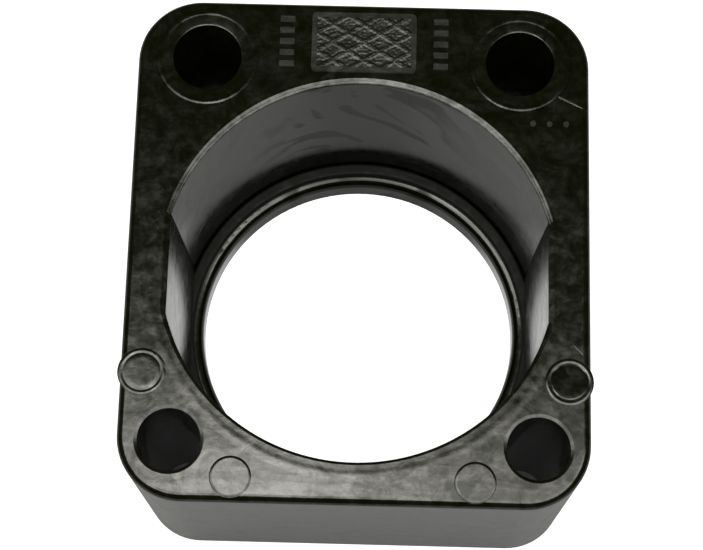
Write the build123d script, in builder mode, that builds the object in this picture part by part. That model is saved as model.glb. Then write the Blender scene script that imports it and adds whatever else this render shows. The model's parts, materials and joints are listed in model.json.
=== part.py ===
from build123d import *
import os
from math import sqrt

# A square-set toilet flange: a thick moulded block with a keyed pipe socket, four bolt holes,
# two bolt sleeves pressed in at the back, a rubber washer for the pipe's end to seat on and
# a rubber ring that seals the face that bolts down.
# Millimetres. The origin is on the socket's axis, in the bottom (mounting) face. +Z points up
# out of the socket's mouth, +Y to the back of the block and +X to its right.

os.makedirs("parts", exist_ok=True)

# Pipe socket, with a stop at its foot and a shallow lead-in at its mouth
socket_radius = 30.3
stop_height = 5.0
stop_ledge = 3.7
stop_round = 1.5
mouth_lead_width = 0.9
mouth_lead_depth = 0.2

# Two flat keys in the socket, which lean in towards its foot
key_depth_at_mouth = 1.1  # socket wall to the flat
key_depth_at_foot = 1.8
key_root = 1.0  # how far a key is drawn into the socket's wall

# Block, which is as wide as the socket and its side walls need, and as long as its bolts need
block_height = 44.0
side_wall = 5.4
back_margin = 1.6  # sleeve head to the back wall
front_margin = 4.4  # front hole to the front wall
corner_radius = 10.0
draft_angle = 0.7  # degrees, so that the block leaves its mould
top_edge_round = 1.2
bottom_edge_round = 1.0

# Seat washer, which lies on the stop
washer_width = 2.1
washer_thickness = 1.2
washer_clearance = 0.1
washer_edge_round = 0.3

# Bolt holes: the back pair takes the sleeves, and the front pair is bare
back_land = 3.8165  # socket wall to the sleeve's head
back_side_margin = 2.85  # sleeve head to the side wall
front_land = 3.9678  # socket wall to the front hole
front_side_margin = 3.15  # front hole to the side wall
front_hole_radius = 4.8
hole_lead_width = 0.5
hole_lead_depth = 0.12
front_hole_round = 0.4  # at the hole's foot

# Bolt sleeves, with a head let into the top face
sleeve_bore_radius = 5.4
sleeve_wall = 1.4
sleeve_head_ledge = 1.3  # how far the head stands out past the sleeve
sleeve_head_thickness = 2.0
sleeve_proud = 0.15
sleeve_short = 0.5  # how far a sleeve stops above the bottom face
sleeve_bore_round = 0.45
sleeve_head_round = 0.3
head_clearance = 0.05

# Face seal, in a groove in the bottom face
groove_land = 2.2  # outlet to the groove
groove_width = 3.6
groove_depth = 2.4
seal_side_clearance = 0.1
seal_set_back = 0.05
seal_round = 0.9

# Round pads where the moulding was pushed out of its mould
side_pad_radius = 3.7
front_pad_radius = 3.2
pad_proud = 0.06
pad_depth = 1.5
pad_side_inset = 3.35  # side wall to the middle of a side pad
pad_step_behind_hole = 10.3  # front hole to the side pad, along Y
pad_front_inset = 3.8  # front wall to the middle of a front pad
pad_step_inside_hole = 9.45  # front hole to the front pad, along X

# Low relief on the top face: a framed panel, marker bars beside it and three dots
panel_corner = 0.8
panel_frame = 0.8
panel_proud = 0.3
panel_field_proud = 0.1
panel_mouth_gap = 1.0  # lead-in of the socket to the panel
panel_back_gap = 1.7  # panel to the back wall
bar_width = 2.3
bar_length = 0.9
bar_count = 5
bar_end_gap = 0.75  # end of the panel to the first bar
bar_side_gap = 2.75  # panel to the bars
bar_head_gap = 3.3  # bars to the sleeve's head
bar_proud = 0.2
dot_radius = 0.45
dot_pitch = 2.6
dot_count = 3
dot_side_inset = 6.3  # side wall to the middle dot
dot_step_before_bolt = 10.0  # sleeve to the dots, along Y

# Worked-out sizes
half_width = socket_radius + side_wall
outlet_radius = socket_radius - stop_ledge
key_reach_at_mouth = socket_radius - key_depth_at_mouth
key_reach_at_foot = socket_radius - key_depth_at_foot
key_root_reach = socket_radius + key_root
key_run = sqrt(socket_radius**2 - key_reach_at_foot**2) + key_root
key_foot = stop_height + washer_thickness
mouth_radius = socket_radius + mouth_lead_width
washer_inner_radius = socket_radius - washer_width
groove_radius = outlet_radius + groove_land + groove_width / 2
sleeve_radius = sleeve_bore_radius + sleeve_wall
sleeve_head_radius = sleeve_radius + sleeve_head_ledge
head_seat = block_height - sleeve_head_thickness
back_bolt_side = half_width - back_side_margin - sleeve_head_radius
back_bolt_reach = sqrt((socket_radius + back_land + sleeve_head_radius) ** 2 - back_bolt_side**2)
front_bolt_side = half_width - front_side_margin - front_hole_radius
front_bolt_reach = sqrt((socket_radius + front_land + front_hole_radius) ** 2 - front_bolt_side**2)
back_bolts = [(side * back_bolt_side, back_bolt_reach) for side in (-1, 1)]
front_bolts = [(side * front_bolt_side, -front_bolt_reach) for side in (-1, 1)]
back_reach = back_bolt_reach + sleeve_head_radius + back_margin
front_reach = front_bolt_reach + front_hole_radius + front_margin
block_length = front_reach + back_reach
block_middle = (back_reach - front_reach) / 2
side_pads = [
    (side * (half_width - pad_side_inset), pad_step_behind_hole - front_bolt_reach) for side in (-1, 1)
]
front_pads = [
    (side * (front_bolt_side - pad_step_inside_hole), pad_front_inset - front_reach) for side in (-1, 1)
]
panel_near = mouth_radius + panel_mouth_gap
panel_far = back_reach - panel_back_gap
panel_length = panel_far - panel_near
panel_reach = (panel_near + panel_far) / 2
bar_pitch = (panel_length - bar_length - 2 * bar_end_gap) / (bar_count - 1)
bar_column_reach = back_bolt_side - sleeve_head_radius - bar_head_gap - bar_width / 2
panel_width = 2 * (bar_column_reach - bar_width / 2 - bar_side_gap)
dot_row_place = (half_width - dot_side_inset, back_bolt_reach - dot_step_before_bolt)
top_plane = Plane.XY.offset(block_height)


# Flange body
with BuildPart() as flange_body:
    with BuildSketch(top_plane):
        with Locations((0, block_middle)):
            RectangleRounded(2 * half_width, block_length, corner_radius)
    extrude(amount=-block_height, taper=draft_angle)
    fillet(flange_body.edges().group_by(Axis.Z)[-1], top_edge_round)
    fillet(flange_body.edges().group_by(Axis.Z)[0], bottom_edge_round)

    # Socket and outlet, the socket's mouth, and its keys
    with BuildSketch(Plane.XY.offset(stop_height)):
        Circle(socket_radius)
    extrude(amount=block_height - stop_height, mode=Mode.SUBTRACT)
    with BuildSketch(Plane.XY):
        Circle(outlet_radius)
    extrude(amount=stop_height, mode=Mode.SUBTRACT)
    stop_edges = flange_body.edges().filter_by(GeomType.CIRCLE)
    stop_rim = stop_edges.filter_by_position(Axis.Z, stop_height, stop_height).filter_by(
        lambda edge: edge.radius < outlet_radius + 0.01
    )
    fillet(stop_rim, stop_round)
    with Locations((0, 0, block_height)):
        Cone(
            socket_radius,
            mouth_radius,
            mouth_lead_depth,
            align=(Align.CENTER, Align.CENTER, Align.MAX),
            mode=Mode.SUBTRACT,
        )
    for side in (-1, 1):
        with BuildSketch(Plane.XZ):
            with BuildLine():
                Polyline(
                    (side * (key_reach_at_mouth + mouth_lead_width), block_height),
                    (side * key_reach_at_mouth, block_height - mouth_lead_depth),
                    (side * key_reach_at_foot, key_foot),
                    (side * key_root_reach, key_foot),
                    (side * key_root_reach, block_height),
                    close=True,
                )
            make_face()
        extrude(amount=key_run, both=True)

    # Raised pads
    with BuildSketch(top_plane.offset(pad_proud)):
        with Locations(*side_pads):
            Circle(side_pad_radius)
        with Locations(*front_pads):
            Circle(front_pad_radius)
    extrude(amount=-pad_depth - pad_proud)

    # Low relief
    with BuildSketch(top_plane):
        with Locations((0, panel_reach)):
            RectangleRounded(panel_width, panel_length, panel_corner)
            Rectangle(panel_width - 2 * panel_frame, panel_length - 2 * panel_frame, mode=Mode.SUBTRACT)
    extrude(amount=panel_proud)
    with BuildSketch(top_plane):
        with Locations((0, panel_reach)):
            Rectangle(panel_width - 2 * panel_frame, panel_length - 2 * panel_frame)
    extrude(amount=panel_field_proud)
    with BuildSketch(top_plane):
        for side in (-1, 1):
            with Locations((side * bar_column_reach, panel_reach)):
                with GridLocations(0, bar_pitch, 1, bar_count):
                    Rectangle(bar_width, bar_length)
        with Locations(dot_row_place):
            with GridLocations(dot_pitch, 0, dot_count, 1):
                Circle(dot_radius)
    extrude(amount=bar_proud)

    # Bolt holes
    with BuildSketch(Plane.XY):
        with Locations(*front_bolts):
            Circle(front_hole_radius)
        with Locations(*back_bolts):
            Circle(sleeve_radius)
    extrude(amount=block_height, mode=Mode.SUBTRACT)
    with Locations(*[(x, y, block_height) for x, y in front_bolts]):
        Cone(
            front_hole_radius,
            front_hole_radius + hole_lead_width,
            hole_lead_depth,
            align=(Align.CENTER, Align.CENTER, Align.MAX),
            mode=Mode.SUBTRACT,
        )
    hole_feet = flange_body.edges().filter_by(GeomType.CIRCLE).filter_by_position(Axis.Z, 0, 0).filter_by(
        lambda edge: abs(edge.radius - front_hole_radius) < 0.01
    )
    fillet(hole_feet, front_hole_round)
    with BuildSketch(Plane.XY.offset(head_seat)):
        with Locations(*back_bolts):
            Circle(sleeve_head_radius + head_clearance)
    extrude(amount=sleeve_head_thickness, mode=Mode.SUBTRACT)

    # Groove for the face seal
    with BuildSketch(Plane.XY):
        Circle(groove_radius + groove_width / 2)
        Circle(groove_radius - groove_width / 2, mode=Mode.SUBTRACT)
    extrude(amount=groove_depth, mode=Mode.SUBTRACT)
flange_body.part.label = "flange_body"
export_step(flange_body.part, "parts/flange_body.step")

# Bolt sleeves
for name, place in zip(("bolt_sleeve_left", "bolt_sleeve_right"), back_bolts):
    with BuildPart() as bolt_sleeve:
        with BuildSketch(Plane.XY.offset(sleeve_short)):
            with Locations(place):
                Circle(sleeve_radius)
        extrude(amount=head_seat - sleeve_short)
        with BuildSketch(Plane.XY.offset(head_seat)):
            with Locations(place):
                Circle(sleeve_head_radius)
        extrude(amount=sleeve_head_thickness + sleeve_proud)
        fillet(bolt_sleeve.edges().group_by(Axis.Z)[-1], sleeve_head_round)
        with BuildSketch(Plane.XY.offset(sleeve_short)):
            with Locations(place):
                Circle(sleeve_bore_radius)
        extrude(amount=block_height, mode=Mode.SUBTRACT)
        bore_rim = bolt_sleeve.edges().filter_by(GeomType.CIRCLE).filter_by(
            lambda edge: abs(edge.radius - sleeve_bore_radius) < 0.01
        )
        fillet(bore_rim, sleeve_bore_round)
    bolt_sleeve.part.label = name
    export_step(bolt_sleeve.part, f"parts/{name}.step")

# Seat washer
with BuildPart() as seat_washer:
    with BuildSketch(Plane.XY.offset(stop_height)):
        Circle(socket_radius - washer_clearance)
        Circle(washer_inner_radius, mode=Mode.SUBTRACT)
    extrude(amount=washer_thickness)
    fillet(seat_washer.edges().group_by(Axis.Z)[-1], washer_edge_round)
seat_washer.part.label = "seat_washer"
export_step(seat_washer.part, "parts/seat_washer.step")

# Face seal
with BuildPart() as face_seal:
    with BuildSketch(Plane.XZ):
        with Locations((groove_radius, (groove_depth + seal_set_back) / 2)):
            RectangleRounded(
                groove_width - 2 * seal_side_clearance,
                groove_depth - seal_set_back,
                seal_round,
            )
    revolve(axis=Axis.Z)
face_seal.part.label = "face_seal"
export_step(face_seal.part, "parts/face_seal.step")
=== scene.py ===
"""Toilet flange: finishes and fine relief for a moulded block, its bolt sleeves and its seals."""

import json
import math

import bmesh
import bpy
from bpy.props import FloatProperty, FloatVectorProperty, IntProperty, PointerProperty
from bpy.types import Operator, Panel, PropertyGroup
from mathutils import Matrix, Vector, noise


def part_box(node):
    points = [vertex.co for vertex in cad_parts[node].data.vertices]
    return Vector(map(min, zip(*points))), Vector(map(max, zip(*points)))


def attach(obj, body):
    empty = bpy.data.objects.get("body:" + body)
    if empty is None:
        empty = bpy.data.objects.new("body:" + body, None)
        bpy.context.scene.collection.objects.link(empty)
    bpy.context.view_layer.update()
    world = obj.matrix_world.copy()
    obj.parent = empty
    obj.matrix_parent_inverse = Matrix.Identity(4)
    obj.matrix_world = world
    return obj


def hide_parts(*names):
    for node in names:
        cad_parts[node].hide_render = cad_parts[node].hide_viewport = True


bl_info = {
    "name": "Toilet Flange Finishes",
    "version": (1, 0, 0),
    "blender": (4, 5, 0),
    "location": "View3D > Sidebar > Flange",
    "description": "Builds the visible detail and the finishes of a moulded toilet flange",
    "category": "Object",
}

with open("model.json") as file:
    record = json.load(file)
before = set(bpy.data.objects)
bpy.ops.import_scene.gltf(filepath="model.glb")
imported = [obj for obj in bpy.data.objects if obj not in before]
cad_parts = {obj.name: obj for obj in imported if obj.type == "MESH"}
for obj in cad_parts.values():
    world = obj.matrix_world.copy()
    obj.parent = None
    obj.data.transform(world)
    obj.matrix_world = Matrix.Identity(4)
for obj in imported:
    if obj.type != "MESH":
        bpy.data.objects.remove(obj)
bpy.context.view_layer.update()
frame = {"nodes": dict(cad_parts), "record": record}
BODY = "root"
MM = 0.001

BLOCK_LOW, BLOCK_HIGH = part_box("flange_body")
WASHER_LOW, WASHER_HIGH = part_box("seat_washer")
SEAL_LOW, SEAL_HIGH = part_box("face_seal")
SLEEVES = ("bolt_sleeve_left", "bolt_sleeve_right")
MOUNTS = {mount["name"]: mount for mount in frame["record"]["mounts"]}
TOP = MOUNTS["pipe_socket"]["pos_m"][2]
FRONT_BOLTS = MOUNTS["front_bolt_holes"]
BACK_BOLTS = MOUNTS["back_bolt_holes"]
WASHER_GAP = 0.1 * MM
SOCKET_RADIUS = WASHER_HIGH.x + WASHER_GAP
LIP_START = 0.93 * MM
MOUTH_EDGE = (  # section: out from the socket's wall and down from the top face, in millimetres
    (0.45, 0.10), (0.30, 0.115), (0.15, 0.15), (0.03, 0.20),
    (-0.03, 0.28), (-0.03, 0.60), (0.10, 0.70), (0.45, 0.70),
)

ERODED_COLOUR = (0.0060, 0.0063, 0.0024)
ERODED_ROUGHNESS = 0.32
ERODED_DEPTH = 0.035 * MM
SCRATCH_COLOUR = (0.10, 0.10, 0.085)
SCRATCHES = (  # start and end on the top face and width in millimetres, height in metres
    ((28.0, 30.2), (35.2, 26.7), 0.34, 0.05 * MM),
    ((33.0, -11.4), (34.5, -12.9), 0.30, 0.06 * MM),
    ((-30.6, -14.0), (-27.4, -18.4), 0.22, 0.03 * MM),
)

FLOOR_SPAN = 12.0
FLOOR_SEEN = (0.9, 0.9, 0.9, 1)
LAMP_COLOUR = (1.0, 0.985, 0.91)
CORE_SIZE = (0.09, 0.11)
CORE_PLACE = (-0.050, 0.066)
CORE_DROP = 0.01
SKIRT_LENGTH = 0.045
DIM_ROOM = (0.050, 0.054, 0.026, 1)


# ---------------------------------------------------------------- sizes and colours


class FlangeBlockSettings(PropertyGroup):
    """Finish of the black moulded block."""

    colour: FloatVectorProperty(
        name="Colour", description="Colour of the moulded plastic", subtype="COLOR",
        size=3, min=0, max=1, default=(0.0030, 0.0034, 0.0004),
    )
    bloom: FloatVectorProperty(
        name="Bloom", description="Colour of the pale bloom on the skin of the moulding",
        subtype="COLOR", size=3, min=0, max=1, default=(0.0065, 0.0068, 0.0046),
    )
    roughness: FloatProperty(
        name="Roughness", description="Roughness of the plastic where it is smoothest",
        subtype="FACTOR", min=0, max=1, default=0.11,
    )
    mottle: FloatProperty(
        name="Mottle", description="How much rougher the cloudy patches are",
        subtype="FACTOR", min=0, max=1, default=0.05,
    )
    sink_depth: FloatProperty(
        name="Sink depth", description="Depth of the broad waves left by shrinkage",
        subtype="DISTANCE", unit="LENGTH", precision=6, default=0.030 * MM,
    )
    patch_depth: FloatProperty(
        name="Patch depth", description="Depth of the cloudy patches in the skin",
        subtype="DISTANCE", unit="LENGTH", precision=6, default=0.014 * MM,
    )
    grain_depth: FloatProperty(
        name="Grain depth", description="Depth of the fine grain of the mould",
        subtype="DISTANCE", unit="LENGTH", precision=6, default=0.0012 * MM,
    )


class FlangePadSettings(PropertyGroup):
    """Four round pads, with a fine groove round the face of the side ones."""

    side_radius: FloatProperty(
        name="Side radius", description="Radius of the two pads at the sides",
        subtype="DISTANCE", unit="LENGTH", precision=5, default=3.699 * MM,
    )
    front_radius: FloatProperty(
        name="Front radius", description="Radius of the two pads at the front",
        subtype="DISTANCE", unit="LENGTH", precision=5, default=3.199 * MM,
    )
    side_step: FloatVectorProperty(
        name="Side step", description="Step from a front bolt hole to the side pad",
        subtype="TRANSLATION", unit="LENGTH", size=2, default=(4.6 * MM, 10.3 * MM),
    )
    front_step: FloatVectorProperty(
        name="Front step", description="Step from a front bolt hole to the front pad",
        subtype="TRANSLATION", unit="LENGTH", size=2, default=(-9.45 * MM, -5.4 * MM),
    )
    rise: FloatProperty(
        name="Rise", description="Height of a pad over the top face",
        subtype="DISTANCE", unit="LENGTH", precision=5, default=0.13 * MM,
    )
    edge_width: FloatProperty(
        name="Edge width", description="Width of a pad's rounded edge",
        subtype="DISTANCE", unit="LENGTH", precision=5, default=0.45 * MM,
    )
    groove_depth: FloatProperty(
        name="Groove depth", description="Depth of the groove inside the edge of a side pad",
        subtype="DISTANCE", unit="LENGTH", precision=5, default=0.03 * MM,
    )
    lean: FloatProperty(
        name="Lean", description="How far the face of the right side pad leans back",
        subtype="ANGLE", default=math.radians(2.5),
    )
    segments: IntProperty(
        name="Segments", description="Divisions round a pad", min=24, default=96,
    )


class FlangeLipSettings(PropertyGroup):
    """Soft lip round the mouth of the socket."""

    width: FloatProperty(
        name="Width", description="Width of the lip", subtype="DISTANCE", unit="LENGTH",
        precision=5, default=2.1 * MM,
    )
    height: FloatProperty(
        name="Height", description="Height of the lip over the top face",
        subtype="DISTANCE", unit="LENGTH", precision=6, default=0.018 * MM,
    )
    fill: FloatProperty(
        name="Fill", description="How far the lip covers the chamfer at the front",
        subtype="DISTANCE", unit="LENGTH", precision=5, default=0.5 * MM,
    )
    segments: IntProperty(
        name="Segments", description="Divisions round the lip", min=48, default=256,
    )


class FlangePanelSettings(PropertyGroup):
    """Grained and hatched field inside the frame of the panel."""

    size: FloatVectorProperty(
        name="Size", description="Width and length of the field", subtype="TRANSLATION",
        unit="LENGTH", size=2, default=(14.98 * MM, 8.38 * MM),
    )
    step: FloatProperty(
        name="Step", description="From the row of back bolts to the middle of the panel",
        subtype="DISTANCE", unit="LENGTH", precision=5, default=3.0 * MM,
    )
    cell: FloatProperty(
        name="Cell", description="Distance between two corners of the field's mesh",
        subtype="DISTANCE", unit="LENGTH", precision=5, default=0.11 * MM,
    )
    rib_pitch: FloatProperty(
        name="Rib pitch", description="Distance between two slanting ribs",
        subtype="DISTANCE", unit="LENGTH", precision=5, default=2.6 * MM,
    )
    rib_height: FloatProperty(
        name="Rib height", description="Height of a rib above the grain",
        subtype="DISTANCE", unit="LENGTH", precision=5, default=0.07 * MM,
    )
    grain_height: FloatProperty(
        name="Grain height", description="Height of the grain of the field",
        subtype="DISTANCE", unit="LENGTH", precision=5, default=0.09 * MM,
    )


class FlangeSleeveSettings(PropertyGroup):
    """Shape and finish of the two bolt sleeves."""

    colour: FloatVectorProperty(
        name="Colour", description="Colour of the sleeves", subtype="COLOR",
        size=3, min=0, max=1, default=(0.0028, 0.0032, 0.0004),
    )
    bead_inset: FloatProperty(
        name="Bead inset", description="Edge of the head to the crest of its soft bead",
        subtype="DISTANCE", unit="LENGTH", precision=5, default=0.55 * MM,
    )
    bead_width: FloatProperty(
        name="Bead width", description="Width of the bead",
        subtype="DISTANCE", unit="LENGTH", precision=5, default=1.1 * MM,
    )
    bead_height: FloatProperty(
        name="Bead height", description="Height of the bead over the face of the head",
        subtype="DISTANCE", unit="LENGTH", precision=5, default=0.05 * MM,
    )
    lead_width: FloatProperty(
        name="Lead-in width", description="Width of the shallow lead-in of the bore",
        subtype="DISTANCE", unit="LENGTH", precision=5, default=0.26 * MM,
    )
    segments: IntProperty(
        name="Segments", description="Divisions round a sleeve", min=24, default=160,
    )


class FlangeSealSettings(PropertyGroup):
    """Shape and finish of the seat washer and the face seal."""

    colour: FloatVectorProperty(
        name="Colour", description="Colour of the rubber", subtype="COLOR",
        size=3, min=0, max=1, default=(0.0040, 0.0042, 0.0036),
    )
    rib_height: FloatProperty(
        name="Rib height", description="Height of the sealing ribs on the face seal",
        subtype="DISTANCE", unit="LENGTH", precision=5, default=0.22 * MM,
    )
    waviness: FloatProperty(
        name="Waviness", description="How far the washer's edge wanders from a circle",
        subtype="DISTANCE", unit="LENGTH", precision=6, default=0.06 * MM,
    )
    segments: IntProperty(
        name="Segments", description="Divisions round a seal", min=48, default=288,
    )


class FlangeStageSettings(PropertyGroup):
    """Floor, lights and camera."""

    floor_colour: FloatVectorProperty(
        name="Floor", description="Colour of the pale floor", subtype="COLOR",
        size=3, min=0, max=1, default=(0.56, 0.565, 0.605),
    )
    floor_glow: FloatProperty(
        name="Floor glow", description="Evens out the floor to look at", min=0, default=0.85,
    )
    side_glow: FloatProperty(
        name="Side glow", description="Light that the socket's flats mirror", min=0, default=0.62,
    )
    softbox_power: FloatProperty(
        name="Softbox", description="Power of the softbox overhead",
        subtype="POWER", min=0, default=5.4,
    )
    core_power: FloatProperty(
        name="Core", description="Power of the softbox's bright core",
        subtype="POWER", min=0, default=0.17,
    )
    skirt_power: FloatProperty(
        name="Skirt", description="Power of the dim strip behind the softbox",
        subtype="POWER", min=0, default=0.13,
    )
    softbox_size: FloatVectorProperty(
        name="Softbox size", description="Width and length of the softbox",
        subtype="TRANSLATION", unit="LENGTH", size=2, default=(1.0, 0.5),
    )
    softbox_height: FloatProperty(
        name="Softbox height", description="Height of the softbox over the floor",
        subtype="DISTANCE", unit="LENGTH", default=0.8,
    )
    softbox_back: FloatProperty(
        name="Softbox back", description="How far behind the socket the softbox ends",
        subtype="DISTANCE", unit="LENGTH", default=0.125,
    )
    softbox_turn: FloatProperty(
        name="Softbox turn", description="Turn of the softbox about the vertical",
        subtype="ANGLE", default=math.radians(-6.0),
    )
    camera_place: FloatVectorProperty(
        name="Camera", description="Where the camera stands", subtype="TRANSLATION",
        unit="LENGTH", size=3, default=(0.00172, -0.0864, 0.3386),
    )
    camera_target: FloatVectorProperty(
        name="Target", description="Point on the top face that the camera looks at",
        subtype="TRANSLATION", unit="LENGTH", size=3, default=(-0.0010, -0.0012, 0.044),
    )
    camera_roll: FloatProperty(
        name="Roll", description="Turn of the camera about its own line of sight",
        subtype="ANGLE", default=math.radians(-0.34),
    )
    lens: FloatProperty(
        name="Lens", description="Focal length", subtype="DISTANCE_CAMERA", default=102.4,
    )


# ---------------------------------------------------------------- shader nodes


def add_node(tree, kind, inputs=None, **settings):
    """Adds a node, with its settings and the values or links of its inputs."""
    made = tree.nodes.new(kind)
    for key, value in settings.items():
        setattr(made, key, value)
    for key, value in (inputs or {}).items():
        if isinstance(value, bpy.types.NodeSocket):
            tree.links.new(value, made.inputs[key])
        else:
            made.inputs[key].default_value = value
    return made


def new_material(name):
    """An empty node material: its tree and its surface shader."""
    material = bpy.data.materials.new(name)
    material.use_nodes = True
    tree = material.node_tree
    tree.nodes.clear()
    shader = add_node(tree, "ShaderNodeBsdfPrincipled")
    add_node(tree, "ShaderNodeOutputMaterial", {"Surface": shader.outputs["BSDF"]})
    return material, tree, shader


def millimetres(tree):
    """The point of the surface in millimetres, in the object's own frame."""
    place = add_node(tree, "ShaderNodeTexCoord")
    return add_node(
        tree, "ShaderNodeVectorMath", {0: place.outputs["Object"], "Scale": 1 / MM},
        operation="SCALE",
    ).outputs["Vector"]


def stretched(tree, point, turn, stretch):
    """The point turned about Z and then squeezed along each axis."""
    return add_node(
        tree, "ShaderNodeMapping",
        {"Vector": point, "Rotation": (0, 0, turn), "Scale": stretch},
    ).outputs["Vector"]


def clouds(tree, point, scale, detail=3.0, rough=0.55, twist=0.0):
    """Smooth noise of a given number of cells in each millimetre."""
    return add_node(
        tree, "ShaderNodeTexNoise",
        {"Vector": point, "Scale": scale, "Detail": detail, "Roughness": rough,
         "Distortion": twist},
    ).outputs["Fac"]


def between(tree, value, low, high, out_low=0.0, out_high=1.0):
    """The value, smoothly moved from one range to another and held there."""
    return add_node(
        tree, "ShaderNodeMapRange",
        {"Value": value, "From Min": low, "From Max": high, "To Min": out_low, "To Max": out_high},
        interpolation_type="SMOOTHSTEP",
    ).outputs["Result"]


def math_node(tree, operation, first, second=0.0):
    """One sum of two values or links."""
    return add_node(
        tree, "ShaderNodeMath", {0: first, 1: second}, operation=operation,
    ).outputs["Value"]


def mixed(tree, factor, first, second):
    """A blend of two colours."""
    made = add_node(tree, "ShaderNodeMix", data_type="RGBA")
    for socket, value in (("Factor_Float", factor), ("A_Color", first), ("B_Color", second)):
        target = next(s for s in made.inputs if s.identifier == socket)
        if isinstance(value, bpy.types.NodeSocket):
            tree.links.new(value, target)
        else:
            target.default_value = value
    return next(s for s in made.outputs if s.identifier == "Result_Color")


def raised(tree, height, depth, below=None):
    """A bump of a given depth in metres, on top of another."""
    inputs = {"Height": height, "Distance": depth, "Strength": 1.0}
    if below is not None:
        inputs["Normal"] = below
    return add_node(tree, "ShaderNodeBump", inputs).outputs["Normal"]


def with_alpha(colour):
    """A colour with full alpha."""
    return (*colour, 1.0)


# ---------------------------------------------------------------- materials


def scratch(tree, point, start, end, width):
    """1 along a straight scratch on the top face, 0 away from it. All in millimetres."""
    run = Vector((*end, 0)) - Vector((*start, 0))
    middle = (Vector((*start, 0)) + Vector((*end, 0))) / 2
    local = add_node(
        tree, "ShaderNodeMapping",
        {"Vector": point, "Location": (*middle.xy, TOP / MM),
         "Rotation": (0, 0, math.atan2(run.y, run.x)),
         "Scale": (run.length / 2, width / 2, 1.0)},
        vector_type="TEXTURE",
    ).outputs["Vector"]
    reach = add_node(tree, "ShaderNodeVectorMath", {0: local}, operation="LENGTH").outputs["Value"]
    return between(tree, reach, 1.0, 0.4)


def relief_mask(tree):
    """1 on the relief that stands proud of the top face behind the socket, 0 elsewhere."""
    place = add_node(tree, "ShaderNodeTexCoord").outputs["Object"]
    _, y, height = add_node(tree, "ShaderNodeSeparateXYZ", {"Vector": place}).outputs
    proud = between(tree, height, TOP + 0.07 * MM, TOP + 0.10 * MM)
    return math_node(tree, "MULTIPLY", proud, math_node(tree, "GREATER_THAN", y, SOCKET_RADIUS / 2))


def socket_mask(tree):
    """1 on the wall of the socket, 0 on the top face and outside."""
    place = add_node(tree, "ShaderNodeTexCoord").outputs["Object"]
    flat = add_node(
        tree, "ShaderNodeVectorMath", {0: place, 1: (1, 1, 0)}, operation="MULTIPLY"
    ).outputs["Vector"]
    reach = add_node(tree, "ShaderNodeVectorMath", {0: flat}, operation="LENGTH")
    return math_node(tree, "LESS_THAN", reach.outputs["Value"], SOCKET_RADIUS + 0.1 * MM)


def wall_shine(tree, point):
    """Shine of the walls: smeared, and duller in the middle, on the wall of the socket."""
    x = add_node(tree, "ShaderNodeSeparateXYZ", {"Vector": point}).outputs["X"]
    aside = math_node(tree, "ABSOLUTE", x)
    swirl = clouds(tree, point, 0.045, 1.2, 0.4, 3.0)
    smear = math_node(
        tree, "MULTIPLY", between(tree, swirl, 0.38, 0.5, 1.0, 0.0),
        between(tree, aside, 10.0, 20.0, 0.78, 0.2),
    )
    middle = between(tree, aside, 3.0, 19.0, 0.55, 0.0)
    socket = math_node(tree, "MULTIPLY", math_node(tree, "MAXIMUM", smear, middle), socket_mask(tree))
    return math_node(tree, "SUBTRACT", 1.0, socket)


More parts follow.
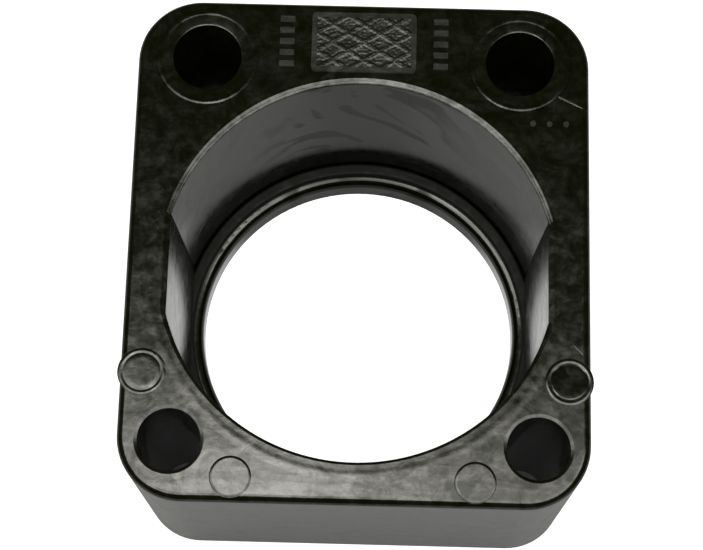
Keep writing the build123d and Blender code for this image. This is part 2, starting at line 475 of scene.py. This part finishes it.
def moulded_plastic(name, colour, look, marks=(), relief=True):
    """Black moulded plastic: cloudy gloss, sink waves, fine grain, matt relief and scratches."""
    material, tree, shader = new_material(name)
    point = millimetres(tree)
    broad = clouds(tree, point, 0.055, 3, 0.5, 0.8)
    patches = clouds(tree, point, 0.20, 4, 0.6, 1.4)
    mottle = clouds(tree, point, 0.75, 5, 0.65, 0.6)
    grain = clouds(tree, point, 3.2, 4, 0.7)
    dust = clouds(tree, point, 1.4, 6, 0.75)

    pale = math_node(
        tree, "MULTIPLY", between(tree, patches, 0.42, 0.68), between(tree, broad, 0.35, 0.65, 0.3, 1)
    )
    speck = between(tree, dust, 0.6, 0.74, 0.0, 0.5)
    tint = math_node(tree, "MAXIMUM", pale, speck)
    colour_now = mixed(tree, tint, with_alpha(colour), with_alpha(look.bloom))

    cloudy = math_node(
        tree, "ADD", between(tree, patches, 0.35, 0.7, 0.0, look.mottle),
        between(tree, mottle, 0.35, 0.7, 0.0, look.mottle),
    )
    rough = math_node(tree, "ADD", cloudy, look.roughness)

    flow = clouds(tree, stretched(tree, point, 0.06, (0.2, 0.9, 0.5)), 0.75, 3, 0.55, 0.6)
    blotch = math_node(
        tree, "MULTIPLY", between(tree, mottle, 0.36, 0.62, 0.72, 1.0),
        between(tree, patches, 0.36, 0.6, 0.62, 1.0),
    )
    shine = math_node(tree, "MULTIPLY", blotch, between(tree, flow, 0.35, 0.65, 0.8, 1.15))

    height = add_node(tree, "ShaderNodeSeparateXYZ", {"Vector": point}).outputs["Z"]
    level = TOP / MM
    cloudiness = between(tree, height, level - 1.5, level - 0.5, 0.25, 1.0)
    patches = math_node(tree, "MULTIPLY", patches, cloudiness)
    dull = math_node(tree, "MULTIPLY", math_node(tree, "SUBTRACT", 1.0, shine), cloudiness)
    shine = math_node(tree, "SUBTRACT", 1.0, dull)
    shine = math_node(tree, "MULTIPLY", shine, wall_shine(tree, point))

    surface = raised(tree, broad, look.sink_depth)
    surface = raised(tree, patches, look.patch_depth, surface)
    surface = raised(tree, mottle, look.grain_depth * 2, surface)
    surface = raised(tree, grain, look.grain_depth, surface)
    if relief:
        matt = relief_mask(tree)
        eroded = math_node(tree, "MULTIPLY", clouds(tree, point, 5.5, 3, 0.6), matt)
        surface = raised(tree, eroded, ERODED_DEPTH, surface)
        rough = math_node(tree, "MAXIMUM", rough, math_node(tree, "MULTIPLY", matt, ERODED_ROUGHNESS))
        colour_now = mixed(tree, matt, colour_now, with_alpha(ERODED_COLOUR))
    for start, end, width, height in marks:
        line = scratch(tree, point, start, end, width)
        colour_now = mixed(tree, line, colour_now, with_alpha(SCRATCH_COLOUR))
        surface = raised(tree, line, height, surface)

    tree.links.new(colour_now, shader.inputs["Base Color"])
    tree.links.new(rough, shader.inputs["Roughness"])
    tree.links.new(shine, shader.inputs["Specular IOR Level"])
    tree.links.new(surface, shader.inputs["Normal"])
    shader.inputs["IOR"].default_value = 1.49
    return material


def rubber(name, colour):
    """Dull black rubber with a faint powdery bloom and a fine matt skin."""
    material, tree, shader = new_material(name)
    point = millimetres(tree)
    powder = clouds(tree, point, 0.5, 6, 0.7, 0.8)
    skin = clouds(tree, point, 5.0, 4, 0.7)
    tint = between(tree, powder, 0.5, 0.78, 0.0, 0.8)
    colour_now = mixed(tree, tint, with_alpha(colour), (0.012, 0.0118, 0.0105, 1))
    surface = raised(tree, powder, 0.02 * MM)
    surface = raised(tree, skin, 0.006 * MM, surface)
    rough = between(tree, powder, 0.3, 0.75, 0.42, 0.66)
    tree.links.new(colour_now, shader.inputs["Base Color"])
    tree.links.new(rough, shader.inputs["Roughness"])
    tree.links.new(surface, shader.inputs["Normal"])
    shader.inputs["IOR"].default_value = 1.52
    shader.inputs["Specular IOR Level"].default_value = 0.22
    return material


# ---------------------------------------------------------------- meshes


def link_mesh(name, build, material, smooth_angle=40.0):
    """Makes an object from a bmesh, shaded smooth up to the angle given in degrees."""
    mesh = bpy.data.meshes.new(name)
    build.normal_update()
    build.to_mesh(mesh)
    build.free()
    piece = bpy.data.objects.new(name, mesh)
    bpy.context.scene.collection.objects.link(piece)
    piece.data.materials.append(material)
    mesh.shade_smooth()
    mesh.set_sharp_from_angle(angle=math.radians(smooth_angle))
    return piece


def revolved(profile, centre, segments, wander=None):
    """A closed ring: the profile of (radius, height) points turned about a vertical axis."""
    build = bmesh.new()
    rings = []
    for step in range(segments):
        turn = math.tau * step / segments
        ring = []
        for radius, height in profile:
            shift = wander(turn, radius, height) if wander else 0.0
            ring.append(
                build.verts.new((
                    centre[0] + (radius + shift) * math.cos(turn),
                    centre[1] + (radius + shift) * math.sin(turn),
                    height,
                ))
            )
        rings.append(ring)
    count = len(profile)
    for step in range(segments):
        here, there = rings[step], rings[(step + 1) % segments]
        for i in range(count):
            j = (i + 1) % count
            build.faces.new((here[i], there[i], there[j], here[j]))
    bmesh.ops.recalc_face_normals(build, faces=build.faces)
    return build


def arc(centre, radius, start, end, steps):
    """Points of an arc of the profile, its angles in degrees."""
    return [
        (
            centre[0] + radius * math.cos(math.radians(start + (end - start) * i / steps)),
            centre[1] + radius * math.sin(math.radians(start + (end - start) * i / steps)),
        )
        for i in range(steps + 1)
    ]


# ---------------------------------------------------------------- operators


def block_plastic(context):
    """The plastic of the block and of everything moulded in one with it."""
    name = "clouded_black_plastic"
    look = context.scene.flange_block
    return bpy.data.materials.get(name) or moulded_plastic(name, look.colour, look, SCRATCHES)


def settle(piece, slot, *nodes):
    """Rides the piece on the body and stands it in for the CAD nodes."""
    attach(piece, BODY)
    if nodes:
        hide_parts(*nodes)


class FLANGE_OT_block(Operator):
    """Give the moulded block its plastic"""

    bl_idname = "flange.block"
    bl_label = "Block"

    def execute(self, context):
        slots = frame["nodes"]["flange_body"].data.materials
        slots.clear()
        slots.append(block_plastic(context))
        return {"FINISHED"}


class FLANGE_OT_mouth_lip(Operator):
    """Build the soft lip round the socket's mouth"""

    bl_idname = "flange.mouth_lip"
    bl_label = "Mouth lip"

    def execute(self, context):
        look = context.scene.flange_lip
        inner = SOCKET_RADIUS + LIP_START
        outer = inner + look.width
        sunk = TOP - 0.2 * MM
        base = TOP + 0.003 * MM
        steps = 14
        profile = [(outer, sunk), (outer, base)]
        for i in range(1, steps):
            share = i / steps
            swell = math.sin(math.pi * share) ** 2
            profile.append((inner + look.width * (1 - share), base + look.height * swell))
        profile += [(inner, base), (inner, sunk)]

        def wander(turn, radius, height):
            if radius > inner + 0.1 * MM:
                return 0.0
            return -look.fill * (1 - math.sin(turn)) / 2

        build = revolved(profile, (0, 0), look.segments, wander)
        settle(link_mesh("mouth_lip", build, block_plastic(context)), "black_moulding")
        return {"FINISHED"}


class FLANGE_OT_mouth_edge(Operator):
    """Build the rounded inner edge of the socket's mouth"""

    bl_idname = "flange.mouth_edge"
    bl_label = "Mouth edge"

    def execute(self, context):
        profile = [(SOCKET_RADIUS + out * MM, TOP - down * MM) for out, down in MOUTH_EDGE]
        build = revolved(profile, (0, 0), context.scene.flange_lip.segments)
        settle(link_mesh("mouth_edge", build, block_plastic(context)), "black_moulding")
        return {"FINISHED"}


class FLANGE_OT_pads(Operator):
    """Build the four round pads, each with a rounded edge"""

    bl_idname = "flange.pads"
    bl_label = "Pads"

    def execute(self, context):
        look = context.scene.flange_pads
        hole_side = FRONT_BOLTS["dims"]["spacing_x_mm"] * MM / 2
        hole_front = FRONT_BOLTS["pos_m"][1]
        for place, step, radius, groove in (
            ("side", look.side_step, look.side_radius, look.groove_depth),
            ("front", look.front_step, look.front_radius, 0.0),
        ):
            for hand, side in (("left", -1), ("right", 1)):
                centre = (side * (hole_side + step[0]), hole_front + step[1])
                build = revolved(self.profile(look, radius, groove), centre, look.segments)
                if groove and side > 0:
                    self.lean_back(build, centre, radius - 2 * look.edge_width, look.lean)
                piece = link_mesh(f"{place}_pad_{hand}", build, block_plastic(context))
                settle(piece, "black_moulding")
        return {"FINISHED"}

    @staticmethod
    def lean_back(build, centre, radius, lean):
        """Leans the face of a pad back, and lifts it so that its low side stays in view."""
        lift = 0.05 * MM
        for corner in build.verts:
            away = corner.co.y - centre[1]
            if corner.co.z > TOP and (corner.co.xy - Vector(centre)).length < radius:
                corner.co.z += lift - away * math.tan(lean)

    @staticmethod
    def profile(look, radius, groove):
        """Half the section of a pad, from its axis under the face to its axis on the face."""
        axis = 0.02 * MM
        foot = TOP - 1.4 * MM
        crown = TOP + look.rise
        round_steps, groove_steps, face_steps = 7, 11, 5
        points = [(axis, foot), (radius, foot), (radius, TOP + 0.005 * MM)]
        for i in range(1, round_steps + 1):
            turn = math.pi / 2 * i / round_steps
            points.append((
                radius - look.edge_width * (1 - math.cos(turn)),
                TOP + look.rise * math.sin(turn),
            ))
        inside = radius - look.edge_width
        groove_width = look.edge_width * 1.6
        for i in range(1, groove_steps):
            share = i / groove_steps
            dip = groove * math.sin(math.pi * share) ** 2
            points.append((inside - groove_width * share, crown - dip))
        face = inside - groove_width
        for i in range(1, face_steps):
            points.append((face * (1 - i / face_steps), crown))
        points.append((axis, crown))
        return points


class FLANGE_OT_panel(Operator):
    """Build the grained, hatched field of the panel behind the socket"""

    bl_idname = "flange.panel"
    bl_label = "Panel field"

    def execute(self, context):
        look = context.scene.flange_panel
        width, length = look.size
        middle = BACK_BOLTS["pos_m"][1] + look.step
        sunk = TOP - 0.05 * MM
        columns, rows = round(width / look.cell), round(length / look.cell)
        build = bmesh.new()
        grid = []
        for row in range(rows + 1):
            y = length * (row / rows - 0.5)
            grid.append([
                build.verts.new((x, middle + y, self.height(look, x, y)))
                for x in (width * (column / columns - 0.5) for column in range(columns + 1))
            ])
        for row in range(rows):
            for column in range(columns):
                build.faces.new((
                    grid[row][column], grid[row][column + 1],
                    grid[row + 1][column + 1], grid[row + 1][column],
                ))
        skirt = bmesh.ops.extrude_edge_only(
            build, edges=[edge for edge in build.edges if edge.is_boundary]
        )
        corners = [item for item in skirt["geom"] if isinstance(item, bmesh.types.BMVert)]
        for corner in corners:
            corner.co.z = sunk
        bmesh.ops.holes_fill(build, edges=[edge for edge in build.edges if edge.is_boundary])
        bmesh.ops.recalc_face_normals(build, faces=build.faces)
        settle(link_mesh("panel_field", build, block_plastic(context)), "black_moulding")
        return {"FINISHED"}

    @staticmethod
    def height(look, x, y):
        """Height of the field: eroded grain, with slanting ribs that cross each other."""
        base = 0.11 * MM
        slope = 0.55
        crest = 0.55
        grains_each_mm = 2.6
        spot = Vector((x, y, 0)) / MM
        grain = 0.5 + 0.5 * noise.fractal(spot * grains_each_mm, 0.7, 2.1, 3)
        ribs = 0.0
        for slant in (slope, -slope):
            across = (x * math.sin(slant) + y * math.cos(slant)) / look.rib_pitch
            ribs = max(ribs, math.cos(math.tau * across))
        rib = max(0.0, ribs - crest) / (1 - crest)
        rise = look.grain_height * min(max(grain, 0), 1) + look.rib_height * min(rib * 1.5, 1)
        return TOP + base + rise


class FLANGE_OT_sleeves(Operator):
    """Build the two bolt sleeves with a soft bead round each head"""

    bl_idname = "flange.sleeves"
    bl_label = "Bolt sleeves"

    def execute(self, context):
        look = context.scene.flange_sleeves
        plastic = moulded_plastic(
            "sleeve_black_plastic", look.colour, context.scene.flange_block, relief=False
        )
        for node in SLEEVES:
            low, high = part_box(node)
            centre = (low + high) / 2
            head = (high.x - low.x) / 2
            build = revolved(self.profile(look, low.z, head), centre, look.segments)
            piece = link_mesh(node.replace("bolt_sleeve", "sleeve"), build, plastic)
            settle(piece, "sleeve_plastic", node)
        return {"FINISHED"}

    @staticmethod
    def profile(look, foot, head):
        """The section of a sleeve, from its bore round its foot and its head."""
        bore = BACK_BOLTS["dims"]["hole_r_mm"] * MM
        wall = bore + 1.4 * MM
        seat = TOP - 2.0 * MM
        face = TOP + 0.01 * MM
        foot_round = 0.4 * MM
        neck = 0.3 * MM
        chamfer = 0.05 * MM
        lead = bore + look.lead_width
        lead_foot = (bore + 0.02 * MM, face - 0.05 * MM)
        half_bead = look.bead_width / 2
        crest = head - look.bead_inset
        steps = 18
        points = [(bore, foot + foot_round)]
        points += arc((bore + foot_round, foot + foot_round), foot_round, 180, 270, 6)[1:]
        points += [(wall, foot), (wall, seat - neck), (wall, seat), (head - chamfer, seat)]
        points += [(head, seat + chamfer), (head, face - chamfer)]
        for i in range(steps + 1):
            radius = head - (head - crest + half_bead) * i / steps
            away = min(1, abs(radius - crest) / half_bead)
            points.append((radius, face + look.bead_height * math.cos(math.pi / 2 * away) ** 2))
        points += [(lead, face), lead_foot, (bore, face - 0.08 * MM)]
        return points


class FLANGE_OT_seat_washer(Operator):
    """Build the rubber washer at the foot of the socket"""

    bl_idname = "flange.seat_washer"
    bl_label = "Seat washer"

    def execute(self, context):
        look = context.scene.flange_seals
        outer = WASHER_HIGH.x
        inner = outer - 2.0 * MM
        foot, crown = WASHER_LOW.z, WASHER_HIGH.z
        edge = 0.35 * MM
        profile = [(inner, foot), (outer, foot)]
        profile += arc((outer - edge, crown - edge), edge, 0, 90, 5)
        profile += [(outer - 0.6 * MM, crown - 0.02 * MM), (inner + 0.9 * MM, crown - 0.05 * MM)]
        profile += arc((inner + edge, crown - edge - 0.06 * MM), edge, 90, 180, 5)

        def wander(turn, radius, height):
            if radius > (inner + outer) / 2 or height < foot + edge / 2:
                return 0.0
            place = Vector((math.cos(turn), math.sin(turn), 0)) * 5
            return look.waviness * noise.noise(place)

        build = revolved(profile, (0, 0), look.segments, wander)
        piece = link_mesh("pipe_seat_washer", build, rubber("seat_rubber", look.colour))
        settle(piece, "seal_rubber", "seat_washer")
        return {"FINISHED"}


class FLANGE_OT_face_seal(Operator):
    """Build the ribbed rubber ring in the groove of the underside"""

    bl_idname = "flange.face_seal"
    bl_label = "Face seal"

    def execute(self, context):
        look = context.scene.flange_seals
        outer = SEAL_HIGH.x
        foot, crown = SEAL_LOW.z, SEAL_HIGH.z
        width = 3.4 * MM
        inner = outer - width
        edge = 0.5 * MM
        ribs = 2
        steps = 24
        profile = arc((inner + edge, crown - edge), edge, 180, 90, 4)
        profile += arc((outer - edge, crown - edge), edge, 90, 0, 4)
        profile += arc((outer - edge, foot + look.rib_height + edge), edge, 0, -90, 4)
        for i in range(1, steps):
            share = i / steps
            radius = outer - edge - (width - 2 * edge) * share
            rib = math.sin(math.pi * ribs * share) ** 2
            profile.append((radius, foot + look.rib_height * (1 - rib)))
        profile += arc((inner + edge, foot + look.rib_height + edge), edge, 270, 180, 4)
        build = revolved(profile, (0, 0), look.segments)
        piece = link_mesh("ribbed_face_seal", build, rubber("face_rubber", look.colour))
        settle(piece, "seal_rubber", "face_seal")
        return {"FINISHED"}


class FLANGE_OT_stage(Operator):
    """Set the floor, the lights and the camera"""

    bl_idname = "flange.stage"
    bl_label = "Floor, lights and camera"

    def execute(self, context):
        look = context.scene.flange_stage
        self.floor(look)
        self.world(context)
        self.softbox(look, context)
        self.camera(look, context)
        context.scene.view_settings.view_transform = "Standard"
        return {"FINISHED"}

    @staticmethod
    def under_block(tree, x, y, reach):
        """1 on the floor under the block, 0 in its socket, at its corners and round it."""
        corner_gap = 6 * MM
        side_gap = 2 * MM
        under = math_node(
            tree, "MULTIPLY", math_node(tree, "GREATER_THAN", reach, SOCKET_RADIUS),
            math_node(tree, "LESS_THAN", reach, BLOCK_HIGH.x + corner_gap),
        )
        for value, low, high in (
            (x, BLOCK_LOW.x, BLOCK_HIGH.x), (y, BLOCK_LOW.y, BLOCK_HIGH.y)
        ):
            offset = math_node(tree, "SUBTRACT", value, (low + high) / 2)
            near = math_node(tree, "ABSOLUTE", offset)
            inside = math_node(tree, "LESS_THAN", near, (high - low) / 2 - side_gap)
            under = math_node(tree, "MULTIPLY", under, inside)
        return under

    def floor(self, look):
        """A pale floor, whiter to look at than the light it throws back on the plastic."""
        material, tree, shader = new_material("pale_floor")
        direct = add_node(tree, "ShaderNodeLightPath").outputs["Is Camera Ray"]
        place = add_node(tree, "ShaderNodeTexCoord").outputs["Object"]
        x, y, _ = add_node(tree, "ShaderNodeSeparateXYZ", {"Vector": place}).outputs
        reach = add_node(tree, "ShaderNodeVectorMath", {0: place}, operation="LENGTH").outputs["Value"]
        under = self.under_block(tree, x, y, reach)
        path = math_node(tree, "MULTIPLY", direct, math_node(tree, "SUBTRACT", 1.0, under))
        seen = mixed(tree, path, with_alpha(look.floor_colour), FLOOR_SEEN)
        glow = math_node(tree, "MULTIPLY", path, look.floor_glow)
        aside = between(tree, math_node(tree, "ABSOLUTE", x), 18 * MM, 24 * MM, 0.0, look.side_glow)
        within = math_node(tree, "LESS_THAN", reach, SOCKET_RADIUS)
        mirrored = math_node(tree, "SUBTRACT", 1.0, direct)
        aside = math_node(tree, "MULTIPLY", aside, math_node(tree, "MULTIPLY", within, mirrored))
        glow = math_node(tree, "ADD", glow, aside)
        tree.links.new(seen, shader.inputs["Base Color"])
        tree.links.new(glow, shader.inputs["Emission Strength"])
        shader.inputs["Emission Color"].default_value = (1, 1, 1, 1)
        shader.inputs["Roughness"].default_value = 0.9
        shader.inputs["Specular IOR Level"].default_value = 0.0
        build = bmesh.new()
        bmesh.ops.create_grid(build, x_segments=2, y_segments=2, size=FLOOR_SPAN / 2)
        link_mesh("floor", build, material)

    @staticmethod
    def world(context):
        """Pale to look at, dim where the plastic mirrors it."""
        world = bpy.data.worlds.new("studio")
        context.scene.world = world
        world.use_nodes = True
        tree = world.node_tree
        tree.nodes.clear()
        path = add_node(tree, "ShaderNodeLightPath")
        colour = mixed(tree, path.outputs["Is Camera Ray"], DIM_ROOM, (1, 1, 1, 1))
        back = add_node(tree, "ShaderNodeBackground", {"Color": colour, "Strength": 1.0})
        add_node(tree, "ShaderNodeOutputWorld", {"Surface": back.outputs["Background"]})

    @staticmethod
    def softbox(look, context):
        """A softbox that leaves the back of the top face dark, its bright core and its dim skirt."""
        width, length = look.softbox_size
        back, height = look.softbox_back, look.softbox_height
        for name, size, place, power in (
            ("softbox", (width, length), (0, back - length / 2, height), look.softbox_power),
            ("softbox_core", CORE_SIZE, (*CORE_PLACE, height - CORE_DROP), look.core_power),
            (
                "softbox_skirt", (width, SKIRT_LENGTH), (0, back + SKIRT_LENGTH / 2, height),
                look.skirt_power,
            ),
        ):
            lamp = bpy.data.lights.new(name, "AREA")
            lamp.shape = "RECTANGLE"
            lamp.size, lamp.size_y = size
            lamp.energy = power
            lamp.color = LAMP_COLOUR
            holder = bpy.data.objects.new(name, lamp)
            holder.location = place
            holder.rotation_euler.z = look.softbox_turn
            context.scene.collection.objects.link(holder)

    @staticmethod
    def camera(look, context):
        """A long lens high in front of the flange."""
        data = bpy.data.cameras.new("camera")
        data.lens = look.lens
        data.sensor_width = 36.0
        data.clip_start = 0.01
        data.clip_end = 20.0
        camera = bpy.data.objects.new("camera", data)
        place = Vector(look.camera_place)
        sight = (Vector(look.camera_target) - place).normalized()
        turn = sight.to_track_quat("-Z", "Y").to_matrix().to_4x4()
        camera.matrix_world = (
            Matrix.Translation(place) @ turn @ Matrix.Rotation(look.camera_roll, 4, "Z")
        )
        context.scene.collection.objects.link(camera)
        context.scene.camera = camera


class FLANGE_PT_sidebar(Panel):
    """Everything that makes up the flange"""

    bl_label = "Toilet flange"
    bl_idname = "FLANGE_PT_sidebar"
    bl_space_type = "VIEW_3D"
    bl_region_type = "UI"
    bl_category = "Flange"

    def draw(self, context):
        for title, group, operators in SECTIONS:
            box = self.layout.box()
            box.label(text=title)
            settings = getattr(context.scene, group)
            for key in settings.__annotations__:
                box.prop(settings, key)
            for operator in operators:
                box.operator(operator.bl_idname)


SECTIONS = (
    ("Block", "flange_block", (FLANGE_OT_block,)),
    ("Mouth lip", "flange_lip", (FLANGE_OT_mouth_lip, FLANGE_OT_mouth_edge)),
    ("Pads", "flange_pads", (FLANGE_OT_pads,)),
    ("Panel", "flange_panel", (FLANGE_OT_panel,)),
    ("Bolt sleeves", "flange_sleeves", (FLANGE_OT_sleeves,)),
    ("Seals", "flange_seals", (FLANGE_OT_seat_washer, FLANGE_OT_face_seal)),
    ("Stage", "flange_stage", (FLANGE_OT_stage,)),
)
GROUPS = {
    "flange_block": FlangeBlockSettings,
    "flange_lip": FlangeLipSettings,
    "flange_pads": FlangePadSettings,
    "flange_panel": FlangePanelSettings,
    "flange_sleeves": FlangeSleeveSettings,
    "flange_seals": FlangeSealSettings,
    "flange_stage": FlangeStageSettings,
}
OPERATORS = [operator for section in SECTIONS for operator in section[2]]


def register():
    """Adds the settings, the operators and the panel."""
    for group, kind in GROUPS.items():
        bpy.utils.register_class(kind)
        setattr(bpy.types.Scene, group, PointerProperty(type=kind))
    for kind in (*OPERATORS, FLANGE_PT_sidebar):
        bpy.utils.register_class(kind)


def unregister():
    """Takes away what register added."""
    for kind in (FLANGE_PT_sidebar, *reversed(OPERATORS)):
        bpy.utils.unregister_class(kind)
    for group, kind in GROUPS.items():
        delattr(bpy.types.Scene, group)
        bpy.utils.unregister_class(kind)


def main():
    """Builds every piece, then the floor, lights and camera."""
    register()
    bpy.ops.flange.block()
    bpy.ops.flange.mouth_lip()
    bpy.ops.flange.mouth_edge()
    bpy.ops.flange.pads()
    bpy.ops.flange.panel()
    bpy.ops.flange.sleeves()
    bpy.ops.flange.seat_washer()
    bpy.ops.flange.face_seal()
    bpy.ops.flange.stage()
    bpy.context.view_layer.update()


if __name__ == "__main__":
    main()
